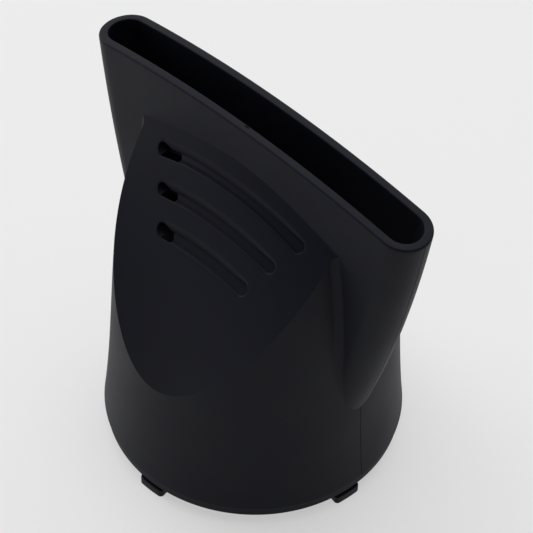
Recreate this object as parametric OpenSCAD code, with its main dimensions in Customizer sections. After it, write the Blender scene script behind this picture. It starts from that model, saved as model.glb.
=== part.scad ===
// Hair dryer concentrator nozzle: a round collar that narrows into a wide flat
// outlet, with a sloping vented panel on its front and on its back.
// The collar's axis is Z, the outlet is widest along X, the front panel faces -Y
// and Z = 0 is the underside of the lugs.

/* [Overall] */
// Height of the middle of the rim above the underside of the lugs
nozzle_h = 74.8; // [70:0.1:90]

/* [Collar] */
// Outer diameter of the collar above its foot band
collar_d = 54.8; // [53:0.2:58]
// Height of the collar's underside
collar_z = 2.2; // [2:0.1:4]
// Height of the slightly smaller band at the collar's foot
band_h = 1.9; // [1:0.1:4]
// How far the foot band stands back from the collar
band_in = 0.4; // [0.1:0.1:1]
// Edge radius where the collar meets the foot band
collar_edge_r = 0.3; // [0.1:0.05:0.6]
// How far the lower bend of the body's side is drawn in from the collar
waist_in = 2.5; // [1.5:0.1:3.5]
// How far the upper bend of the body's side is drawn in from the collar
shoulder_in = 1.4; // [0.5:0.1:2.5]
// How far the body's crown is drawn in from the collar
crown_in = 5.8; // [4.5:0.1:7]
// Height of the body's crown, hidden inside the duct
crown_z = 68; // [66:0.5:69]
// Wall of the body and of the panels
wall = 2; // [1.6:0.1:2.4]
// Bore of the inlet
bore_d = 47.2; // [44:0.2:48]

/* [Spigot] */
// Outer diameter of the short ring that carries the lugs
spigot_d = 50; // [49.5:0.1:51]
// Reach of each lug beyond the spigot
lug_reach = 2.2; // [1:0.1:2.4]
// Height of each lug
lug_h = 1.8; // [1.2:0.1:1.9]
// Angle that each lug spans
lug_span = 11.6; // [8:0.2:16]
// Corner radius of each lug
lug_corner_r = 0.7; // [0.3:0.1:0.9]
// Direction of the front lug
lug_front = -88; // [-100:1:-80]
// Direction of the side lug
lug_side = -6; // [-15:1:5]

/* [Duct] */
// Width of the outlet across its rounded ends
outlet_w = 73.8; // [68:0.2:84]
// Thickness of the duct from face to face
outlet_t = 9.8; // [8.6:0.2:12]
// Wall of the duct
duct_wall = 1.6; // [1.2:0.1:2]
// Rise of the rim from its ends to its middle
rim_rise = 3.2; // [0:0.1:6]
// Width steering the upper bend of the duct's sides
duct_upper_w = 69.4; // [66:0.2:76]
// Width steering the lower bend of the duct's sides
duct_lower_w = 62.6; // [60:0.2:66]
// Width of the duct at its foot, where it sinks into the body
duct_foot_w = 51.7; // [50.5:0.1:52]
// Height of the duct's foot
duct_foot_z = 22; // [18:0.5:26]
// Radius of the fold between the body and the duct's faces
fold_r = 2; // [1:0.1:3]

/* [Panel] */
// Height of the panel's lowest point
panel_foot_z = 26.8; // [22:0.2:32]
// Height of the panel's highest point, on the duct's face
panel_top_z = 67.2; // [66:0.1:69]
// Bow of the panel at its top, over the half-width that the bow is taken at
panel_top_bow = 2.7; // [1:0.1:4]
// Bow of the panel at its foot, negative where it is hollow
panel_foot_bow = -2.5; // [-3:0.1:0]
// Half-width that the bow is taken at
panel_bow_x = 20; // [18:0.5:24]

/* [Vents] */
// Number of vent slots in each panel
vent_count = 3; // [1:1:4]
// Height of the middle of the top slot
vent_top_z = 62.6; // [61:0.1:63.2]
// Height from one slot to the next
vent_pitch = 6.2; // [5:0.1:8]
// Clear height of a slot
vent_gap = 2.1; // [1.5:0.1:3]
// Radius of the arc that the top slot follows
vent_arc_r = 65; // [45:1:90]
// How much flatter each slot is than the one above, as a larger radius of its arc
vent_flatter = 42; // [0:1:60]
// Half-length of the top slot, up to the middle of its round end
vent_half = 16.9; // [14:0.1:18]
// How much shorter each slot's half is than the one above
vent_step = 3.1; // [2:0.1:4]
// Radius of the rounded upper lip of each slot
lip_r = 0.8; // [0.4:0.05:1]
// Bevel on the lower edge of each slot
sill = 0.3; // [0.1:0.05:0.5]

/* [Guide walls] */
// Width of each guide wall behind the slots, at the top of the panel
guide_top_w = 26.4; // [20:0.2:30]
// Width of each guide wall at its foot
guide_foot_w = 32; // [24:0.2:34]
// Height of the foot of the guide walls
guide_foot_z = 31; // [28:0.5:40]

/* [Hidden] */
plastic = [0.12, 0.12, 0.13];

// Small overlap that carries one solid into the next
eps = 0.01;
// Depth to which the folds' edges sink into the walls beside them
sink = 0.06;
collar_r = collar_d / 2;
bore_r = bore_d / 2;
spigot_r = spigot_d / 2;
band_top_z = collar_z + band_h;
outlet_r = outlet_t / 2;
rim_end_z = nozzle_h - rim_rise;
duct_in_r = outlet_r - duct_wall;
// Reach of the solids that are cut away past the part
spare = 6;
body_steps = 12;
duct_steps = 8;
end_steps = 8;
edge_steps = 2;
fold_steps = 4;
bow_steps = 13;
slope_steps = 5;
lip_steps = 3;
round_fn = 96;
arch_fn = 360;
small_fn = 24;

// Value at share t of a smooth curve steered by four values
function bend(t, a, b, c, d) = let (s = 1 - t)
    a * s * s * s + 3 * b * s * s * t + 3 * c * s * t * t + d * t * t * t;

// Outer radius of the turned body at height z
function body_r(z) = bend((z - band_top_z) / (crown_z - band_top_z), collar_r,
    collar_r - waist_in, collar_r - shoulder_in, collar_r - crown_in);

// Half-width of the duct at height z
function duct_x(z) = bend((z - duct_foot_z) / (rim_end_z - duct_foot_z), duct_foot_w / 2,
    duct_lower_w / 2, duct_upper_w / 2, outlet_w / 2);

// Share of the panel's height that lies below z
function panel_share(z) = (z - panel_foot_z) / (panel_top_z - panel_foot_z);

// Bow of the panel at height z and half-width x
function panel_bow(x, z) = let (k = panel_share(z))
    (panel_foot_bow + (panel_top_bow - panel_foot_bow) * k) * x * x / panel_bow_x / panel_bow_x;

// Distance of the panel in front of the axis plane at half-width x and height z
foot_y = body_r(panel_foot_z);
function panel_y(x, z) = foot_y + (outlet_r - foot_y) * panel_share(z) - panel_bow(x, z);

// Slope of the panel down its middle, and the wall measured along Y
slope = (foot_y - outlet_r) / (panel_top_z - panel_foot_z);
tilt = atan(slope);
panel_wall_y = wall / cos(tilt);

// Ring of points round the duct at height z, at distance in from its outside
function duct_ring(z, in) = let (
    r = outlet_r - in,
    c = duct_x(z) - outlet_r,
    half = [for (i = [0:end_steps]) let (a = -90 + 180 * i / end_steps)
        [c + r * cos(a), r * sin(a), z]])
    concat(half, [for (p = half) [-p[0], -p[1], z]]);

// Closed solid through a list of level rings that have the same number of points
module loft(rings) {
    n = len(rings[0]);
    m = len(rings);
    sides = [for (j = [0:m - 2], i = [0:n - 1], k = [0, 1]) let (
        a = j * n + i, b = j * n + (i + 1) % n)
        k == 0 ? [a, a + n, b + n] : [a, b + n, b]];
    foot = [[for (i = [0:n - 1]) i]];
    top = [[for (i = [n - 1:-1:0]) i + (m - 1) * n]];
    points = [for (ring = rings, p = ring) p];
    polyhedron(points, concat(sides, foot, top), convexity = 6);
}

// The flat duct from height low up to the middle of the rim, at distance in from its
// outside
module duct_form(low, in) {
    loft([for (j = [0:duct_steps]) duct_ring(low + (nozzle_h - low) * j / duct_steps, in)]);
}

// Everything below the arch of the rim
module below_rim() {
    half_w = outlet_w / 2;
    arch_r = (half_w * half_w + rim_rise * rim_rise) / (2 * rim_rise);
    translate([0, outlet_t, nozzle_h - arch_r])
        rotate([90, 0, 0])
            cylinder(r = arch_r, h = 2 * outlet_t, $fn = arch_fn);
}

// Outer form of the flat duct, its rim arched
module duct_outside() {
    intersection() {
        duct_form(duct_foot_z, 0);
        below_rim();
    }
}

// Air space of the flat duct
module duct_inside() {
    duct_form(duct_foot_z - spare, duct_wall);
}

// Everything in front of a panel, or of its inner side where in is the wall along Y
module panel_front(in) {
    low = panel_foot_z - spare;
    half = collar_r + spare;
    rings = [for (j = [0:slope_steps]) let (z = low + (nozzle_h - low) * j / slope_steps)
        concat(
            [for (i = [0:bow_steps]) let (x = half * (1 - 2 * i / bow_steps))
                [x, in - panel_y(x, z), z]],
            [[-half, -collar_d, z], [half, -collar_d, z]])];
    loft(rings);
}

// The part below the panels' surfaces on both sides
module between_panels(in) {
    difference() {
        children();
        panel_front(in);
        rotate([0, 0, 180])
            panel_front(in);
    }
}

// Turned outer form of the collar and the body, with its foot band
module body_outside() {
    band_r = collar_r - band_in;
    low = band_top_z + collar_edge_r;
    side = [for (i = [0:body_steps]) let (z = low + (crown_z - low) * i / body_steps)
        [body_r(z), z]];
    edge = [for (i = [0:edge_steps - 1]) let (a = 90 * i / edge_steps)
        [body_r(low) - collar_edge_r * (1 - sin(a)),
            band_top_z + collar_edge_r * (1 - cos(a))]];
    foot = [
        [0, collar_z],
        [band_r - collar_edge_r, collar_z],
        [band_r, collar_z + collar_edge_r],
        [band_r, band_top_z]];
    rotate_extrude($fn = round_fn)
        polygon(concat(foot, edge, side, [[0, crown_z]]));
}

// Turned air space of the body, above a straight bore
module body_inside() {
    step = (crown_z - band_top_z) / body_steps;
    side = [for (z = [band_top_z:step:crown_z + eps]) if (body_r(z) - wall < bore_r)
        [body_r(z) - wall, z]];
    rotate_extrude($fn = round_fn)
        polygon(concat(
            [[0, -spare], [bore_r, -spare], [bore_r, side[0][1] - step]],
            side,
            [[0, crown_z]]));
}

// Middle of the fold's round at height z, where it touches the body and the duct
function fold_middle(z) = let (
    r = body_r(z) + fold_r - sink,
    t = outlet_r + fold_r - sink,
    c = duct_x(z) - outlet_r,
    flat_x = sqrt(r * r - t * t),
    round_x = (r * r + c * c - t * t) / (2 * c))
    flat_x <= c ? [flat_x, -t] : [round_x, -sqrt(max(0, r * r - round_x * round_x))];

// Section of the fold at height z: its hollow round, and a point inside the wall, all
// set into the wall by in
function fold_ring(z, in) = let (
    m = fold_middle(z),
    c = duct_x(z) - outlet_r,
    toward_body = atan2(-m[1], -m[0]),
    toward_duct = m[0] <= c ? 90 : atan2(-m[1], c - m[0]),
    mid = (toward_body + toward_duct) / 2,
    start = m + in * [cos(mid), sin(mid)],
    round = [for (i = [0:fold_steps]) let (
        a = toward_body + (toward_duct - toward_body) * i / fold_steps)
        start + fold_r * [cos(a), sin(a)]],
    deep = start + (fold_r + wall / 2) * [cos(mid), sin(mid)])
    [for (p = concat(round, [deep])) [p[0], p[1], z]];

// Hollow round that blends the body into the duct's face, on one side, sinking into
// the wall at its foot
module fold() {
    low = duct_foot_z + fold_r;
    step = (panel_top_z - low) / duct_steps;
    loft([for (j = [0:duct_steps]) fold_ring(low + step * j, j == 0 ? fold_r / 4 : 0)]);
}

// The four folds
module folds() {
    for (side = [0, 1], face = [0, 1])
        mirror([side, 0, 0])
            mirror([0, face, 0])
                fold();
}

// Outer form: the spigot, the body dressed by the panels, and the duct through it
module outside() {
    spigot();
    between_panels(0)
        union() {
            body_outside();
            folds();
        }
    duct_outside();
}

// Air space from the inlet to the outlet
module inside() {
    between_panels(panel_wall_y)
        body_inside();
    duct_inside();
}

// Turns a section drawn as distance from the arc's middle and depth along Y into an
// arc of half-length half, whose top lies at height top at the section's distance r
module vent_arc(top, r, half) {
    span = asin(half / r);
    translate([0, 0, top - r])
        rotate([90, 0, 0])
            rotate([0, 0, 90 - span])
                rotate_extrude(angle = 2 * span, $fn = round_fn)
                    children();
}

// Passage of one slot, with a bevelled lower edge and round ends
module vent_throat(z, half, r) {
    far = foot_y + spare;
    near = outlet_r - duct_wall / 2;
    low = r - vent_gap / 2;
    face = panel_y(0, z - vent_gap / 2);
    vent_arc(z, r, half)
        polygon([
            [low, near],
            [low + vent_gap, near],
            [low + vent_gap, far],
            [low - (far - face + sill) * cos(tilt) / (1 + sin(tilt)), far],
            [low, face - sill]]);
    for (side = [-1, 1])
        translate([side * half, 0, z - r * (1 - cos(asin(half / r)))])
            rotate([90, 0, 0])
                translate([0, 0, near])
                    cylinder(r = vent_gap / 2, h = far - near, $fn = small_fn);
}

// Rounded upper lip of one slot, fading out toward both ends
module vent_lip(z, half, r) {
    edge_z = z + vent_gap / 2;
    face = panel_y(0, edge_z);
    turn = 90 - tilt;
    run = lip_r / tan(turn / 2);
    rise = run * cos(tilt);
    reach = half + vent_gap / 4;
    arc_r = 1 / (1 / r + 2 * rise / reach / reach);
    points = [for (i = [0:lip_steps]) let (a = 180 - (180 - turn) * i / lip_steps)
        [lip_r + lip_r * cos(a), face - run + lip_r * sin(a)]];
    last = points[lip_steps];
    vent_arc(edge_z + rise, arc_r, reach)
        translate([arc_r - rise, 0])
            polygon(concat(points, [
                last + spare * (last - points[lip_steps - 1]),
                [-vent_gap / 2, face + spare],
                [-vent_gap / 2, face - run]]));
}

// The row of slots through the front panel
module vents() {
    for (i = [0:vent_count - 1]) {
        z = vent_top_z - i * vent_pitch;
        half = vent_half - i * vent_step;
        r = vent_arc_r + i * vent_flatter;
        vent_throat(z, half, r);
        vent_lip(z, half, r);
    }
}

// Guide wall that carries the duct's face on down behind the slots
module guide_wall() {
    rotate([90, 0, 0])
        translate([0, 0, duct_in_r + sink])
            linear_extrude(height = duct_wall - 2 * sink)
                polygon([
                    [-guide_foot_w / 2, guide_foot_z],
                    [guide_foot_w / 2, guide_foot_z],
                    [guide_top_w / 2, panel_top_z],
                    [-guide_top_w / 2, panel_top_z]]);
}

// One lug, with its outer corners rounded
module lug() {
    out_r = spigot_r + lug_reach;
    inset = asin(lug_corner_r / (out_r - lug_corner_r));
    root = spigot_r - wall / 2;
    rotate([0, 0, -lug_span / 2])
        rotate_extrude(angle = lug_span, $fn = round_fn)
            translate([root, 0])
                square([out_r - lug_corner_r - root, lug_h]);
    rotate([0, 0, inset - lug_span / 2])
        rotate_extrude(angle = lug_span - 2 * inset, $fn = round_fn)
            translate([root, 0])
                square([out_r - root, lug_h]);
    for (side = [-1, 1])
        rotate([0, 0, side * (lug_span / 2 - inset)])
            translate([out_r - lug_corner_r, 0, 0])
                cylinder(r = lug_corner_r, h = lug_h, $fn = small_fn);
}

// Short cylinder below the collar, and the lugs round it
module spigot() {
    cylinder(r = spigot_r, h = collar_z + eps, $fn = round_fn);
    for (half_turn = [0, 180], a = [lug_front, lug_side])
        rotate([0, 0, a + half_turn])
            lug();
}

// The whole moulding
module nozzle() {
    color(plastic) {
        difference() {
            outside();
            inside();
            vents();
            rotate([0, 0, 180])
                vents();
        }
        guide_wall();
        rotate([0, 0, 180])
            guide_wall();
    }
}

nozzle();
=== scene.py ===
"""A hair dryer's concentrator nozzle: black moulded plastic, standing on its collar.

Lengths are in millimetres while the moulding is made, and it is scaled to metres once,
at its end. X runs along the flat outlet, the front panel faces -Y and Z is up.
"""

import math

import bmesh
import bpy
import numpy as np
from mathutils import Matrix, Vector


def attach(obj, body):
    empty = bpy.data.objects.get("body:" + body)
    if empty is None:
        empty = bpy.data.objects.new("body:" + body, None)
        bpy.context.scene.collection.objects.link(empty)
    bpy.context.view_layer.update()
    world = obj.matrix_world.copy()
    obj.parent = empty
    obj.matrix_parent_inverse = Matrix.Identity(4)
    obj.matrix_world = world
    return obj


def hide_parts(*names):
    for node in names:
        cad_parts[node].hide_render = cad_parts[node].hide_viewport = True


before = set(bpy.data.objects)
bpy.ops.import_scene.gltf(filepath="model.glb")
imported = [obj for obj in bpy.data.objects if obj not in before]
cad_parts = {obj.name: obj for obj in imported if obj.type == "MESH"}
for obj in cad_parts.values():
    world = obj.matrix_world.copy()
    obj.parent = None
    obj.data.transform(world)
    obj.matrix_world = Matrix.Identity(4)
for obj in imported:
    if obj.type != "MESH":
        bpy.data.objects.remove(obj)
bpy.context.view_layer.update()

MM = 0.001

# The moulding's sizes in millimetres, with the foot at z = 0
NOZZLE_H = 74.8
COLLAR_R = 27.4
COLLAR_Z = 2.2
BAND_TOP_Z = 4.1
BAND_IN = 0.4
COLLAR_EDGE_R = 0.3
WAIST_IN = 2.5
SHOULDER_IN = 1.4
CROWN_IN = 5.8
CROWN_Z = 68.0
WALL = 2.0
BORE_R = 23.6
# Where the inside begins to follow the body
AIR_LOW_Z = 20.0
SPIGOT_R = 25.0
LUG_REACH = 2.2
LUG_H = 1.8
LUG_SPAN = math.radians(11.6)
LUG_CORNER_R = 0.7
LUG_EDGE = 0.15
LUG_FRONT = math.radians(-88)
LUG_SIDE = math.radians(-6)
OUTLET_X = 36.9
OUTLET_R = 4.9
DUCT_WALL = 1.6
RIM_RISE = 3.2
RIM_END_Z = NOZZLE_H - RIM_RISE
RIM_OUTER_EDGE_R = 0.4
RIM_INNER_EDGE_R = 0.25
DUCT_UPPER_X = 34.7
DUCT_LOWER_X = 31.3
DUCT_FOOT_X = 25.85
DUCT_FOOT_Z = 22.0
FOLD_R = 2.0
PANEL_FOOT_Z = 26.8
PANEL_TOP_Z = 67.2
PANEL_TOP_BOW = 2.7
PANEL_FOOT_BOW = -2.5
PANEL_BOW_X = 20.0
VENT_COUNT = 3
# Heights of the slots' lower and upper edges at the middle, top slot first, and the
# steps down to the next slots
VENT_LOW_Z = 61.7
VENT_LOW_PITCH = 6.25
VENT_HIGH_Z = 64.5
VENT_HIGH_PITCH = 5.95
# Radii of those edges; the lower edges get flatter downward
VENT_LOW_R = 51.0
VENT_FLATTER = 14.0
VENT_HIGH_R = 52.0
# How far the top slot reaches to either side, and how much less the next ones do
VENT_REACH = 17.3
VENT_STEP = 3.3
VENT_END_R = 1.35
# Height of the upright lip above each slot, and how far its upper edge is softened
LIP_H = 1.75
LIP_SOFT = 0.35
# Length over which the lip rises at its left tip
LIP_TIP = 2.2
# Roundings of the slots' lower edge, of its open left end, and of the lip's foot
SILL_R = 0.24
OPEN_SILL_R = 0.12
LIP_FOOT_R = 0.15
# Depth of a slot's ramp behind the panel where it starts and at its right end, how
# much deeper it gets for each millimetre up, and its thickness, all along Y
RAMP_IN = 0.9
RAMP_END_IN = 0.4
RAMP_SLOPE = 0.35
RAMP_WALL = 0.6
# How far a ramp reaches past the slot's upper edge and right end
RAMP_PAST_TOP = 0.3
RAMP_PAST_END = 0.6
# Where the top slot's ramp starts, the step to the next ones, and how far the start
# moves left for each millimetre up
RAMP_START_X = -11.6
RAMP_START_STEP = 2.35
RAMP_LEAN = 0.8
# Thickness of the panel along Y at the lower edge of the slots' open ends, how much
# thicker it gets for each millimetre down, and how far down that goes
OPEN_WALL = 0.15
OPEN_FLARE = 0.85
OPEN_DROP = 2.2
# How far that hollow reaches up into the slot
OPEN_RISE = 0.4
# The parting groove's depth and half its width
PARTING_DEPTH = 0.08
PARTING_HALF_W = 0.11
# Middle and half sizes of the nick in the rim
NICK_AT = (0.55, -3.72, 74.82)
NICK_HALF = (0.55, 0.22, 0.25)
# Half-widths of the guide walls, and the height of their foot
GUIDE_TOP_X = 13.2
GUIDE_FOOT_X = 16.0
GUIDE_FOOT_Z = 31.0

# What a rounding leaves of the lip where the lip has faded out
LEAST_LIP = 0.05
# How far a solid that is cut away reaches past the moulding
SPARE = 6.0
# Share of a fading lip that its softened edge may take
LIP_SOFT_SHARE = 0.7
# How far a surface sinks into the one beside it, so that the two cross cleanly
SINK = 0.06
# Edges that turn more than this stay crisp
SHARP_ANGLE = math.radians(20)

# The photograph's frame, focal length and optical centre in pixels
FRAME_PX = 533
FOCAL_PX = 2572
CENTRE_PX = (256.57, 276.62)
# The photograph's viewing angle and distance, and the height that it is aimed at
VIEW_AZIMUTH = math.radians(43.77)
VIEW_ELEVATION = math.radians(47.53)
VIEW_ROLL = math.radians(1.558)
VIEW_DISTANCE = 450 * MM
VIEW_AIM = Vector((0, 0, 35.5 * MM))
SENSOR_MM = 36.0

# Radius of the table top in metres, and the share of it that shines by itself
TABLE_R = 2.5
TABLE_GLOW = 0.5
# The studio's white side, and how bright its dim and white sides are
WHITE_SIDE = (-0.76, 0.60, -0.25)
ROOM_DIM = 0.14
ROOM_WHITE = 1.0


def bend(share, a, b, c, d):
    """Value at that share of a smooth curve steered by four values."""
    rest = 1 - share
    return (
        a * rest**3
        + 3 * b * rest**2 * share
        + 3 * c * rest * share**2
        + d * share**3
    )


def body_r(z):
    """Outer radius of the turned body at height z."""
    return bend(
        (z - BAND_TOP_Z) / (CROWN_Z - BAND_TOP_Z),
        COLLAR_R,
        COLLAR_R - WAIST_IN,
        COLLAR_R - SHOULDER_IN,
        COLLAR_R - CROWN_IN,
    )


def duct_x(z):
    """Half-width of the duct at height z."""
    share = (z - DUCT_FOOT_Z) / (RIM_END_Z - DUCT_FOOT_Z)
    return bend(share, DUCT_FOOT_X, DUCT_LOWER_X, DUCT_UPPER_X, OUTLET_X)


def rim_z(x):
    """Height of the arched rim at distance x from the middle."""
    arch_r = (OUTLET_X**2 + RIM_RISE**2) / (2 * RIM_RISE)
    return NOZZLE_H - arch_r + np.sqrt(arch_r**2 - x**2)


FOOT_Y = body_r(PANEL_FOOT_Z)
PANEL_SLOPE = (FOOT_Y - OUTLET_R) / (PANEL_TOP_Z - PANEL_FOOT_Z)
PANEL_WALL_Y = WALL * math.hypot(1, PANEL_SLOPE)


def panel_y(x, z):
    """How far the panel stands in front of the axis at that x and height."""
    share = (z - PANEL_FOOT_Z) / (PANEL_TOP_Z - PANEL_FOOT_Z)
    bow = PANEL_FOOT_BOW + (PANEL_TOP_BOW - PANEL_FOOT_BOW) * share
    return FOOT_Y + (OUTLET_R - FOOT_Y) * share - bow * x**2 / PANEL_BOW_X**2


def closed_solid(name, points, faces):
    """A closed mesh object with its faces pointing outward."""
    mesh = bpy.data.meshes.new(name)
    mesh.from_pydata([tuple(p) for p in points], [], faces)
    work = bmesh.new()
    work.from_mesh(mesh)
    bmesh.ops.recalc_face_normals(work, faces=work.faces)
    work.to_mesh(mesh)
    work.free()
    piece = bpy.data.objects.new(name, mesh)
    bpy.context.scene.collection.objects.link(piece)
    return piece


def side_faces(levels, count):
    """Faces between the closed rings of a loft."""
    return [
        (
            j * count + i,
            j * count + (i + 1) % count,
            (j + 1) * count + (i + 1) % count,
            (j + 1) * count + i,
        )
        for j in range(levels - 1)
        for i in range(count)
    ]


def loft(name, rings, mirrored_rings=False):
    """A closed solid through rings with the same number of points. Rings whose second
    half mirrors the first are closed at the ends by strips, the others by one face."""
    levels, count = len(rings), len(rings[0])
    faces = side_faces(levels, count)
    for start in (0, (levels - 1) * count):
        if mirrored_rings:
            for i in range(count // 2):
                corners = (i, i + 1, count - i - 1, (count - i) % count)
                faces.append([start + c for c in dict.fromkeys(corners)])
        else:
            faces.append([start + i for i in range(count)])
    return closed_solid(name, np.concatenate(rings), faces)


def block_between(name, near, far):
    """A closed solid between two grids of points that face each other."""
    rows, columns = near.shape[:2]
    total = rows * columns

    def at(j, i):
        return j * columns + i

    faces = []
    for j in range(rows - 1):
        for i in range(columns - 1):
            corners = [at(j, i), at(j, i + 1), at(j + 1, i + 1), at(j + 1, i)]
            faces.append(corners)
            faces.append([total + c for c in reversed(corners)])
    edge = (
        [at(0, i) for i in range(columns)]
        + [at(j, columns - 1) for j in range(1, rows)]
        + [at(rows - 1, i) for i in range(columns - 2, -1, -1)]
        + [at(j, 0) for j in range(rows - 2, 0, -1)]
    )
    for a, b in zip(edge, edge[1:] + edge[:1]):
        faces.append([a, b, total + b, total + a])
    points = np.concatenate([near.reshape(-1, 3), far.reshape(-1, 3)])
    return closed_solid(name, points, faces)


def turned(name, profile, sides=256):
    """A solid turned about Z from a profile of radii and heights."""
    angles = np.arange(sides) * 2 * math.pi / sides
    rings = [
        np.stack([r * np.cos(angles), r * np.sin(angles), np.full(sides, z)], axis=-1)
        for r, z in profile
    ]
    return loft(name, rings, mirrored_rings=True)


def combine(base, operation, tools):
    """Joins the tools to the base, or cuts them out of it, and removes them."""
    for tool in tools:
        step = base.modifiers.new(operation, "BOOLEAN")
        step.operation = operation
        step.solver = "MANIFOLD"
        step.object = tool
    shown = bpy.context.evaluated_depsgraph_get()
    made = bpy.data.meshes.new_from_object(base.evaluated_get(shown))
    base.modifiers.clear()
    base.data = made
    for tool in tools:
        bpy.data.objects.remove(tool)
    return base


def turned_copies_tree():
    """Copies of a piece spread evenly round Z, with one material."""
    tree = bpy.data.node_groups.new("turned_copies", "GeometryNodeTree")
    face = tree.interface
    face.new_socket("Geometry", in_out="INPUT", socket_type="NodeSocketGeometry")
    face.new_socket("Copies", in_out="INPUT", socket_type="NodeSocketInt")
    face.new_socket("Material", in_out="INPUT", socket_type="NodeSocketMaterial")
    face.new_socket("Geometry", in_out="OUTPUT", socket_type="NodeSocketGeometry")
    given = add(tree, "NodeGroupInput").outputs
    centre = add(tree, "GeometryNodeMeshLine", {"Count": given["Copies"]})
    centre.inputs["Offset"].default_value = (0, 0, 0)
    index = add(tree, "GeometryNodeInputIndex").outputs["Index"]
    step = add(tree, "ShaderNodeMath", {0: 2 * math.pi}, operation="DIVIDE")
    tree.links.new(given["Copies"], step.inputs[1])
    turn = add(tree, "ShaderNodeMath", {0: index}, operation="MULTIPLY")
    tree.links.new(step.outputs[0], turn.inputs[1])
    about_z = add(tree, "ShaderNodeCombineXYZ", {"Z": turn.outputs[0]})
    copies = add(
        tree,
        "GeometryNodeInstanceOnPoints",
        {
            "Points": centre.outputs["Mesh"],
            "Instance": given["Geometry"],
            "Rotation": about_z.outputs["Vector"],
        },
    )
    real = add(tree, "GeometryNodeRealizeInstances", {0: copies.outputs[0]})
    painted = add(
        tree,
        "GeometryNodeSetMaterial",
        {"Geometry": real.outputs[0], "Material": given["Material"]},
    )
    add(tree, "NodeGroupOutput", {"Geometry": painted.outputs["Geometry"]})
    return tree


def turned_copies(piece, material, copies=2):
    """The piece together with its copies round Z, as one plain mesh."""
    spread = piece.modifiers.new("copies", "NODES")
    spread.node_group = bpy.data.node_groups["turned_copies"]
    sockets = spread.node_group.interface.items_tree
    keys = {s.name: s.identifier for s in sockets if s.in_out == "INPUT"}
    spread[keys["Copies"]] = copies
    spread[keys["Material"]] = material
    shown = bpy.context.evaluated_depsgraph_get()
    made = bpy.data.meshes.new_from_object(piece.evaluated_get(shown))
    piece.modifiers.clear()
    piece.data = made
    return piece


def body_outside():
    """The collar with its foot band, and the body above it."""
    band_r = COLLAR_R - BAND_IN
    low = BAND_TOP_Z + COLLAR_EDGE_R
    profile = []
    for a in np.linspace(0, math.pi / 2, 7):
        profile.append(
            (
                band_r - COLLAR_EDGE_R * (1 - math.sin(a)),
                COLLAR_Z + COLLAR_EDGE_R * (1 - math.cos(a)),
            )
        )
    profile.append((band_r, BAND_TOP_Z))
    for a in np.linspace(0, math.pi / 2, 7):
        profile.append(
            (
                body_r(low) - COLLAR_EDGE_R * (1 - math.sin(a)),
                BAND_TOP_Z + COLLAR_EDGE_R * (1 - math.cos(a)),
            )
        )
    for z in np.linspace(low, CROWN_Z, 70)[1:]:
        profile.append((body_r(z), z))
    return turned("body", profile)


def body_inside():
    """The straight bore and the air space above it."""
    profile = [(BORE_R, -SPARE)]
    for z in np.linspace(AIR_LOW_Z, CROWN_Z, 50):
        profile.append((min(BORE_R, body_r(z) - WALL), z))
    return turned("body_air", profile)


def duct_ring(low, share, inset, drop=0.0):
    """A ring round the duct, set in from its outside. It lies at that share of the
    height between low and the arched rim, lowered by drop."""
    end = np.linspace(0, math.pi / 2, 17)
    flat = np.linspace(1, -1, 49)
    side = np.concatenate([np.ones(16), flat, -np.ones(16)])
    turn = np.concatenate([end[:-1], np.full(49, math.pi / 2), math.pi / 2 + end[1:]])
    side = np.concatenate([side, side[-2:0:-1]])
    turn = np.concatenate([turn, 2 * math.pi - turn[-2:0:-1]])
    r = OUTLET_R - inset
    z = np.full(len(side), RIM_END_Z)
    for _ in range(6):
        x = side * (duct_x(z) - OUTLET_R) + r * np.cos(turn)
        z = low + (rim_z(x) - drop - low) * share
    return np.stack([x, r * np.sin(turn), z], axis=-1)


def duct_outside():
    """The flat duct with its arched rim, whose outer edge is rounded."""
    shares = np.linspace(0, 1, 60)[:-1]
    edge = RIM_OUTER_EDGE_R
    rings = [duct_ring(DUCT_FOOT_Z, s, 0, edge) for s in shares]
    for a in np.linspace(0, math.pi / 2, 8):
        inset = edge * (1 - math.cos(a))
        rings.append(duct_ring(DUCT_FOOT_Z, 1, inset, edge * (1 - math.sin(a))))
    return loft("duct", rings, mirrored_rings=True)


def duct_inside():
    """The duct's air space, which widens at the rim's rounded inner edge."""
    low = DUCT_FOOT_Z - SPARE
    shares = np.linspace(0, 1, 60)[:-1]
    edge = RIM_INNER_EDGE_R
    rings = [duct_ring(low, s, DUCT_WALL, edge) for s in shares]
    for a in np.linspace(0, math.radians(80), 6):
        inset = DUCT_WALL - edge * (1 - math.cos(a))
        rings.append(duct_ring(low, 1, inset, edge * (1 - math.sin(a))))
    flare = rings[-1] - rings[-2]
    rings.append(rings[-1] + 3 * flare)
    rings.append(rings[-1] + np.array([0, 0, SPARE]))
    return loft("duct_air", rings, mirrored_rings=True)


def panel_cutter(wall_y):
    """Everything in front of the front panel, or of its inner side, which lies wall_y
    behind it."""
    half = COLLAR_R + SPARE
    z, x = np.meshgrid(
        np.linspace(PANEL_FOOT_Z - SPARE, NOZZLE_H, 90),
        np.linspace(-half, half, 97),
        indexing="ij",
    )
    near = np.stack([x, wall_y - panel_y(x, z), z], axis=-1)
    far = np.stack([x, np.full_like(x, -2 * COLLAR_R), z], axis=-1)
    return block_between("panel_front", near, far)


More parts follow.
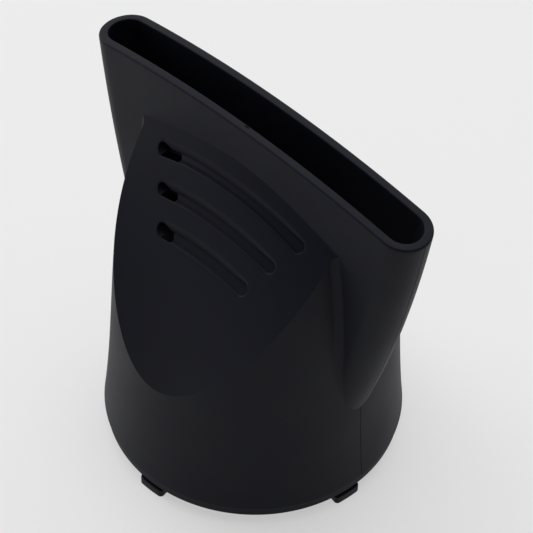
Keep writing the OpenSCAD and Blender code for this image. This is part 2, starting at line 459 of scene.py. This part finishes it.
def fold_ring(z, inset):
    """Section of a fold at height z: its hollow round, and a point inside the wall."""
    r = body_r(z) + FOLD_R - SINK
    t = OUTLET_R + FOLD_R - SINK
    c = duct_x(z) - OUTLET_R
    flat_x = math.sqrt(r * r - t * t)
    round_x = (r * r + c * c - t * t) / (2 * c)
    if flat_x <= c:
        middle = np.array([flat_x, -t])
    else:
        middle = np.array([round_x, -math.sqrt(max(0, r * r - round_x**2))])
    toward_body = math.atan2(-middle[1], -middle[0])
    toward_duct = math.pi / 2
    if middle[0] > c:
        toward_duct = math.atan2(-middle[1], c - middle[0])
    halfway = (toward_body + toward_duct) / 2
    inward = np.array([math.cos(halfway), math.sin(halfway)])
    start = middle + inset * inward
    angles = np.linspace(toward_body, toward_duct, 13)
    hollow = start + FOLD_R * np.stack([np.cos(angles), np.sin(angles)], axis=-1)
    deep = start + (FOLD_R + WALL / 2) * inward
    flat = np.concatenate([hollow, [deep]])
    return np.concatenate([flat, np.full((len(flat), 1), z)], axis=1)


def folds():
    """The four hollow rounds that blend the body into the duct's faces."""
    low = DUCT_FOOT_Z + FOLD_R
    heights = np.linspace(low, PANEL_TOP_Z, 70)
    settling = np.clip((heights - low) / (3 * FOLD_R), 0, 1)
    rings = [fold_ring(z, FOLD_R / 4 * (1 - s) ** 2) for z, s in zip(heights, settling)]
    made = []
    for side in (1, -1):
        for face in (1, -1):
            turned_rings = [ring * np.array([side, face, 1]) for ring in rings]
            made.append(loft("fold", turned_rings))
    return made


def slot_edges(i, x):
    """Heights of the lower and the upper edge of slot i of the front panel at x."""
    low_r = VENT_LOW_R + i * VENT_FLATTER
    low = VENT_LOW_Z - i * VENT_LOW_PITCH - low_r + np.sqrt(low_r**2 - x**2)
    high_foot = VENT_HIGH_Z - i * VENT_HIGH_PITCH - VENT_HIGH_R
    return low, high_foot + np.sqrt(VENT_HIGH_R**2 - x**2)


def slot_outline(i):
    """Points round slot i of the front panel, their outward directions, and how far
    they belong to the upper side: 1 on it, and 0 on the lower side."""
    end_x = VENT_REACH - i * VENT_STEP - VENT_END_R
    x = np.linspace(-end_x, end_x, 80)
    low, high = slot_edges(i, x)
    along = np.stack([np.ones_like(x), np.gradient((low + high) / 2, x)], axis=-1)
    along /= np.linalg.norm(along, axis=-1, keepdims=True)
    up = np.stack([-along[:, 1], along[:, 0]], axis=-1)
    middle = np.stack([x, (low + high) / 2], axis=-1)
    half = (high - low)[:, None] / 2 * along[:, :1]
    turn = np.linspace(0, math.pi, 18)[1:-1, None]
    right = np.cos(turn) * up[-1] + np.sin(turn) * along[-1]
    left = -np.cos(turn) * up[0] - np.sin(turn) * along[0]
    outward = np.concatenate([up, right, -up[::-1], left])
    points = np.concatenate(
        [
            middle + half * up,
            middle[-1] + half[-1] * right,
            (middle - half * up)[::-1],
            middle[0] + half[0] * left,
        ]
    )
    side, end = np.ones(len(x)), np.cos(turn[:, 0]) / 2
    upper = np.concatenate([side, 0.5 + end, 0 * side, 0.5 - end])
    return points, outward, upper


def slot_cutter(i):
    """The passage of slot i. On its upper side an upright lip leads from the panel
    down to the passage, and fades out towards both ends."""
    outline, outward, upper = slot_outline(i)
    x = outline[:, 0]
    start = RAMP_START_X + i * RAMP_START_STEP
    sill = np.interp(x, [start - 1.5, start + 1.5], [OPEN_SILL_R, SILL_R])
    foot = upper * LIP_FOOT_R + (1 - upper) * sill
    reach = VENT_REACH - i * VENT_STEP
    fade = upper * (1 - np.maximum(0, x / reach) ** 3)
    fade *= np.clip((x + reach) / LIP_TIP, 0, 1)
    lip = foot + LEAST_LIP + (LIP_H - foot - LEAST_LIP) * fade

    def place(offset, y=None):
        """Ring at that offset outward from the outline, on the panel or at y."""
        spot = outline + np.reshape(offset * np.ones(len(x)), (-1, 1)) * outward
        depth = -panel_y(spot[:, 0], spot[:, 1]) if y is None else y
        return np.stack([spot[:, 0], depth * np.ones(len(x)), spot[:, 1]], axis=-1)

    def level(offset):
        """Depth of the lip at that offset, or of the panel where there is no lip."""
        return upper * place(0)[:, 1] + (1 - upper) * place(offset)[:, 1]

    def rounded(start, corner, end, shares):
        return [
            (1 - t) ** 2 * start + 2 * t * (1 - t) * corner + t**2 * end for t in shares
        ]

    rings = [place(-lip, DUCT_WALL / 2 - OUTLET_R)]
    rings += rounded(
        place(-lip, level(-lip) + foot),
        place(-lip, level(-lip)),
        place(foot - lip, level(foot - lip)),
        (0, 0.2, 0.4, 0.6, 0.8, 1),
    )
    soft = np.minimum(LIP_SOFT, (lip - foot) * LIP_SOFT_SHARE)
    # Away from the lip these rings stand off the panel, so that the two don't coincide.
    lift = (1 - upper) * soft / 2
    rings += rounded(
        place(-soft, level(-soft) - lift / 4),
        place(0, level(0) - lift / 2),
        place(soft, place(soft)[:, 1] - lift),
        (0, 0.2, 0.4, 0.6, 0.8, 0.93),
    )
    rings.append(rings[-1] + 2 * (rings[-1] - rings[-2]))
    last = rings[-1].copy()
    last[:, 1] = -FOOT_Y - SPARE
    rings.append(last)
    return loft("slot", rings)


def slot_ramp(i):
    """The wall behind slot i of the front panel. It slopes inward going up, and leaves
    the slot open at its left end."""
    low, high = slot_edges(i, 0)
    reach = VENT_REACH - i * VENT_STEP
    rise, share = np.meshgrid(
        np.linspace(0, high - low + RAMP_PAST_TOP, 16),
        np.linspace(0, 1, 60),
        indexing="ij",
    )
    start = RAMP_START_X + i * RAMP_START_STEP - RAMP_LEAN * rise
    end = reach + RAMP_PAST_END
    x = start + (end - start) * share
    z = slot_edges(i, x)[0] + rise
    depth = RAMP_IN + (RAMP_END_IN - RAMP_IN) * share + RAMP_SLOPE * rise
    near = np.stack([x, depth - panel_y(x, z), z], axis=-1)
    return block_between("slot_ramp", near, near + np.array([0, RAMP_WALL, 0]))


def open_end(i):
    """The hollow below slot i's open left end, where the panel thins to its edge."""
    rise, share = np.meshgrid(
        np.linspace(-OPEN_DROP, OPEN_RISE, 14), np.linspace(0, 1, 12), indexing="ij"
    )
    start = VENT_END_R - VENT_REACH + i * VENT_STEP
    end = RAMP_START_X + i * RAMP_START_STEP - RAMP_LEAN * rise
    x = start + (end - start) * share
    z = slot_edges(i, x)[0] + rise
    depth = OPEN_WALL + OPEN_FLARE * np.maximum(0, -rise)
    near = np.stack([x, depth - panel_y(x, z), z], axis=-1)
    return block_between("open_end", near, near + np.array([0, WALL, 0]))


def guide_wall():
    """The wall that carries the duct's front face on down behind the slots."""
    outline = [
        (-GUIDE_FOOT_X, GUIDE_FOOT_Z),
        (GUIDE_FOOT_X, GUIDE_FOOT_Z),
        (GUIDE_TOP_X, PANEL_TOP_Z),
        (-GUIDE_TOP_X, PANEL_TOP_Z),
    ]
    near = -(OUTLET_R - DUCT_WALL + SINK)
    far = -(OUTLET_R - SINK)
    rings = [np.array([(x, y, z) for x, z in outline]) for y in (near, far)]
    return loft("guide_wall", rings)


def lug_ring(z, inset):
    """Outline of a lug at height z, set in from its sides."""
    out_r = SPIGOT_R + LUG_REACH
    centre_r = out_r - LUG_CORNER_R
    corner = LUG_SPAN / 2 - math.asin(LUG_CORNER_R / centre_r)
    root_r = SPIGOT_R - WALL / 2
    root = LUG_SPAN / 2 - inset / root_r
    points = []
    for a in np.linspace(root, -root, 7):
        points.append((root_r * math.cos(a), root_r * math.sin(a)))
    for side in (-1, 1):
        start, end = (-math.pi / 2, 0) if side < 0 else (0, math.pi / 2)
        for a in np.linspace(start, end, 9):
            turn = side * corner + a
            points.append(
                (
                    centre_r * math.cos(side * corner)
                    + (LUG_CORNER_R - inset) * math.cos(turn),
                    centre_r * math.sin(side * corner)
                    + (LUG_CORNER_R - inset) * math.sin(turn),
                )
            )
        if side < 0:
            for a in np.linspace(-corner, corner, 9)[1:-1]:
                points.append(
                    ((out_r - inset) * math.cos(a), (out_r - inset) * math.sin(a))
                )
    return np.array([(x, y, z) for x, y in points])


def lugs():
    """The front lug and the side lug of the spigot."""
    made = []
    for direction in (LUG_FRONT, LUG_SIDE):
        rings = [
            lug_ring(0, LUG_EDGE),
            lug_ring(LUG_EDGE, 0),
            lug_ring(LUG_H - LUG_EDGE, 0),
            lug_ring(LUG_H, LUG_EDGE),
        ]
        lug = loft("lug", rings)
        lug.data.transform(Matrix.Rotation(direction, 4, "Z"))
        made.append(lug)
    return made


def parting_groove():
    """The fine groove down the right side, where the two halves of the mould met."""
    rings = []
    for z in np.linspace(BAND_TOP_Z - 1, NOZZLE_H + 1, 160):
        side = max(body_r(z), duct_x(z)) if z < RIM_END_Z else duct_x(z)
        deep, wide = side - PARTING_DEPTH, side + PARTING_DEPTH
        rings.append(
            np.array(
                [
                    (deep, 0, z),
                    (wide, -2 * PARTING_HALF_W, z),
                    (wide, 2 * PARTING_HALF_W, z),
                ]
            )
        )
    return loft("parting_groove", rings)


def rim_nick():
    """A small dent in the front of the rim."""
    angles = np.linspace(0, 2 * math.pi, 24, endpoint=False)
    rings = []
    for lift in np.linspace(-0.98, 0.98, 13):
        r = math.sqrt(1 - lift**2)
        ring = np.stack([r * np.cos(angles), r * np.sin(angles), 0 * angles], axis=-1)
        ring[:, 2] = lift
        rings.append(ring * np.array(NICK_HALF) + np.array(NICK_AT))
    return loft("nick", rings)


def make_moulding(plastic):
    """The whole nozzle as one closed mesh, in metres."""

    def on_both_sides(*pieces):
        return [turned_copies(piece, plastic) for piece in pieces]

    spigot = turned("spigot", [(SPIGOT_R, 0), (SPIGOT_R, COLLAR_Z + 0.1)])
    part = combine(body_outside(), "UNION", folds())
    combine(part, "DIFFERENCE", on_both_sides(panel_cutter(0)))
    combine(part, "UNION", [duct_outside(), spigot, *on_both_sides(*lugs())])
    inner_sides = on_both_sides(panel_cutter(PANEL_WALL_Y))
    air = combine(body_inside(), "DIFFERENCE", inner_sides)
    combine(air, "UNION", [duct_inside()])
    slots, ramps, hollows = (
        on_both_sides(*(make(i) for i in range(VENT_COUNT)))
        for make in (slot_cutter, slot_ramp, open_end)
    )
    combine(part, "DIFFERENCE", [air, *slots])
    combine(part, "UNION", [*ramps, *on_both_sides(guide_wall())])
    combine(part, "DIFFERENCE", hollows)
    grooves = on_both_sides(parting_groove())
    combine(part, "DIFFERENCE", [*grooves, rim_nick()])
    part.name = "moulding"
    part.data.transform(Matrix.Scale(MM, 4))
    part.data.materials.clear()
    part.data.materials.append(plastic)
    return part


def finish_shading(piece, sharp_angle):
    """Smooth shading that stays crisp at real edges, with broad faces kept flat."""
    mesh = piece.data
    mesh.shade_smooth()
    mesh.set_sharp_from_angle(angle=sharp_angle)
    even = piece.modifiers.new("even", "WEIGHTED_NORMAL")
    even.keep_sharp = True
    even.weight = 100


def linear(hex_colour):
    """An sRGB hex colour as linear RGB and alpha."""
    values = [int(hex_colour[i : i + 2], 16) / 255 for i in (1, 3, 5)]
    return [
        v / 12.92 if v <= 0.04045 else ((v + 0.055) / 1.055) ** 2.4 for v in values
    ] + [1.0]


def add(tree, kind, inputs=None, **settings):
    """Adds a node with its settings. An input is a value, or a socket to link to."""
    node = tree.nodes.new(kind)
    for name, value in settings.items():
        setattr(node, name, value)
    for name, value in (inputs or {}).items():
        if isinstance(value, bpy.types.NodeSocket):
            tree.links.new(value, node.inputs[name])
        else:
            node.inputs[name].default_value = value
    return node


def new_material(name):
    """An empty node material and its tree."""
    material = bpy.data.materials.new(name)
    material.use_nodes = True
    material.node_tree.nodes.clear()
    return material, material.node_tree


def satin_black_abs():
    """Black ABS from a finely spark-eroded mould: a soft sheen with a fine grain, and
    slightly glossier patches where the mould is polished by use."""
    material, tree = new_material("satin_black_abs")
    place = add(tree, "ShaderNodeTexCoord").outputs["Object"]
    # The mould's grain is about 0.05 mm; it is drawn at 0.35 mm so that it shows.
    grain = add(
        tree,
        "ShaderNodeTexNoise",
        {"Vector": place, "Scale": 1 / (0.35 * MM), "Detail": 2.0, "Roughness": 0.6},
    )
    # Cloudy differences in the sheen, about 12 mm across
    cloud = add(
        tree,
        "ShaderNodeTexNoise",
        {"Vector": place, "Scale": 1 / (12 * MM), "Detail": 3.0, "Roughness": 0.5},
    )
    tint = add(
        tree,
        "ShaderNodeMix",
        {
            "Factor": cloud.outputs["Fac"],
            "A": linear("#11121c"),
            "B": linear("#151622"),
        },
        data_type="RGBA",
    )
    sheen = add(
        tree,
        "ShaderNodeMapRange",
        {
            "Value": cloud.outputs["Fac"],
            "From Min": 0.3,
            "From Max": 0.7,
            "To Min": 0.50,
            "To Max": 0.56,
        },
    )
    relief = add(
        tree,
        "ShaderNodeBump",
        {"Height": grain.outputs["Fac"], "Strength": 0.12, "Distance": 0.03 * MM},
    )
    shader = add(
        tree,
        "ShaderNodeBsdfPrincipled",
        {
            "Base Color": tint.outputs["Result"],
            "Roughness": sheen.outputs["Result"],
            "IOR": 1.53,
            "Specular IOR Level": 0.12,
            "Normal": relief.outputs["Normal"],
        },
    )
    add(tree, "ShaderNodeOutputMaterial", {"Surface": shader.outputs["BSDF"]})
    return material


def any_ray(tree, *kinds):
    """1 for rays of those kinds, and 0 for the others."""
    ray = add(tree, "ShaderNodeLightPath").outputs
    seen = ray[kinds[0]]
    for kind in kinds[1:]:
        either = add(tree, "ShaderNodeMath", {0: seen}, operation="MAXIMUM")
        tree.links.new(ray[kind], either.inputs[1])
        seen = either.outputs[0]
    return seen


def white_table():
    """A matt white table that looks white where it is lit and keeps shadows."""
    material, tree = new_material("matt_white_table")
    matt = add(tree, "ShaderNodeBsdfDiffuse", {"Color": linear("#e8e8e8")})
    seen = any_ray(tree, "Is Camera Ray", "Is Glossy Ray", "Is Transmission Ray")
    glow = add(
        tree, "ShaderNodeEmission", {"Color": linear("#ffffff"), "Strength": seen}
    )
    blend = add(tree, "ShaderNodeMixShader", {"Fac": TABLE_GLOW})
    tree.links.new(matt.outputs[0], blend.inputs[1])
    tree.links.new(glow.outputs[0], blend.inputs[2])
    add(tree, "ShaderNodeOutputMaterial", {"Surface": blend.outputs[0]})
    return material


def make_table():
    """A round white table top below the moulding."""
    mesh = bpy.data.meshes.new("table")
    work = bmesh.new()
    bmesh.ops.create_circle(work, cap_ends=True, segments=96, radius=TABLE_R)
    work.to_mesh(mesh)
    work.free()
    table = bpy.data.objects.new("table", mesh)
    bpy.context.scene.collection.objects.link(table)
    mesh.materials.append(white_table())


def make_world():
    """A studio whose far side is white and whose near side and ceiling are dim. Seen
    directly, or through something clear, it is white all round."""
    world = bpy.data.worlds.new("studio")
    world.use_nodes = True
    tree = world.node_tree
    tree.nodes.clear()
    bpy.context.scene.world = world
    direction = add(tree, "ShaderNodeTexCoord").outputs["Generated"]
    away = add(tree, "ShaderNodeVectorMath", {0: direction}, operation="DOT_PRODUCT")
    away.inputs[1].default_value = WHITE_SIDE
    room = add(
        tree,
        "ShaderNodeMapRange",
        {
            "Value": away.outputs["Value"],
            "From Min": -0.4,
            "From Max": 0.8,
            "To Min": ROOM_DIM,
            "To Max": ROOM_WHITE,
        },
        interpolation_type="SMOOTHSTEP",
    )
    level = add(tree, "ShaderNodeMix", data_type="FLOAT")
    seen = any_ray(tree, "Is Camera Ray", "Is Transmission Ray")
    tree.links.new(seen, level.inputs["Factor"])
    tree.links.new(room.outputs["Result"], level.inputs["A"])
    level.inputs["B"].default_value = 1.0
    glow = add(
        tree,
        "ShaderNodeBackground",
        {"Color": linear("#ffffff"), "Strength": level.outputs["Result"]},
    )
    add(tree, "ShaderNodeOutputWorld", {"Surface": glow.outputs[0]})


def add_softbox(name, place, size, watts):
    """A square soft lamp at that place, facing the moulding."""
    lamp = bpy.data.lights.new(name, "AREA")
    lamp.shape = "SQUARE"
    lamp.size = size
    lamp.energy = watts
    softbox = bpy.data.objects.new(name, lamp)
    softbox.location = place
    aim = Vector((0, 0, 35 * MM)) - Vector(place)
    softbox.rotation_euler = aim.to_track_quat("-Z", "Y").to_euler()
    bpy.context.scene.collection.objects.link(softbox)


def make_lamps():
    """Plain soft studio light."""
    add_softbox("overhead", (-0.3, 0.3, 1.5), 2.0, 14.0)
    add_softbox("side", (-1.2, -0.3, 0.5), 0.9, 4.5)


def make_camera():
    """The camera at the photograph's viewing angle."""
    azimuth, elevation = VIEW_AZIMUTH, VIEW_ELEVATION
    back = Vector(
        (
            math.sin(azimuth) * math.cos(elevation),
            -math.cos(azimuth) * math.cos(elevation),
            math.sin(elevation),
        )
    )
    level = Vector((math.cos(azimuth), math.sin(azimuth), 0))
    upward = back.cross(level)
    right = math.cos(VIEW_ROLL) * level + math.sin(VIEW_ROLL) * upward
    up = math.cos(VIEW_ROLL) * upward - math.sin(VIEW_ROLL) * level
    data = bpy.data.cameras.new("camera")
    data.sensor_width = SENSOR_MM
    data.lens = FOCAL_PX * SENSOR_MM / FRAME_PX
    data.shift_x = 0.5 - CENTRE_PX[0] / FRAME_PX
    data.shift_y = CENTRE_PX[1] / FRAME_PX - 0.5
    data.clip_start = 0.02
    camera = bpy.data.objects.new("camera", data)
    turn = Matrix((right, up, back)).transposed()
    place = VIEW_AIM + VIEW_DISTANCE * back
    camera.matrix_world = Matrix.Translation(place) @ turn.to_4x4()
    bpy.context.scene.collection.objects.link(camera)
    bpy.context.scene.camera = camera


make_camera()
turned_copies_tree()
moulding = make_moulding(satin_black_abs())
finish_shading(moulding, SHARP_ANGLE)
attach(moulding, "root")
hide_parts("nozzle")
make_table()
make_world()
make_lamps()
bpy.context.scene.view_settings.view_transform = "Standard"
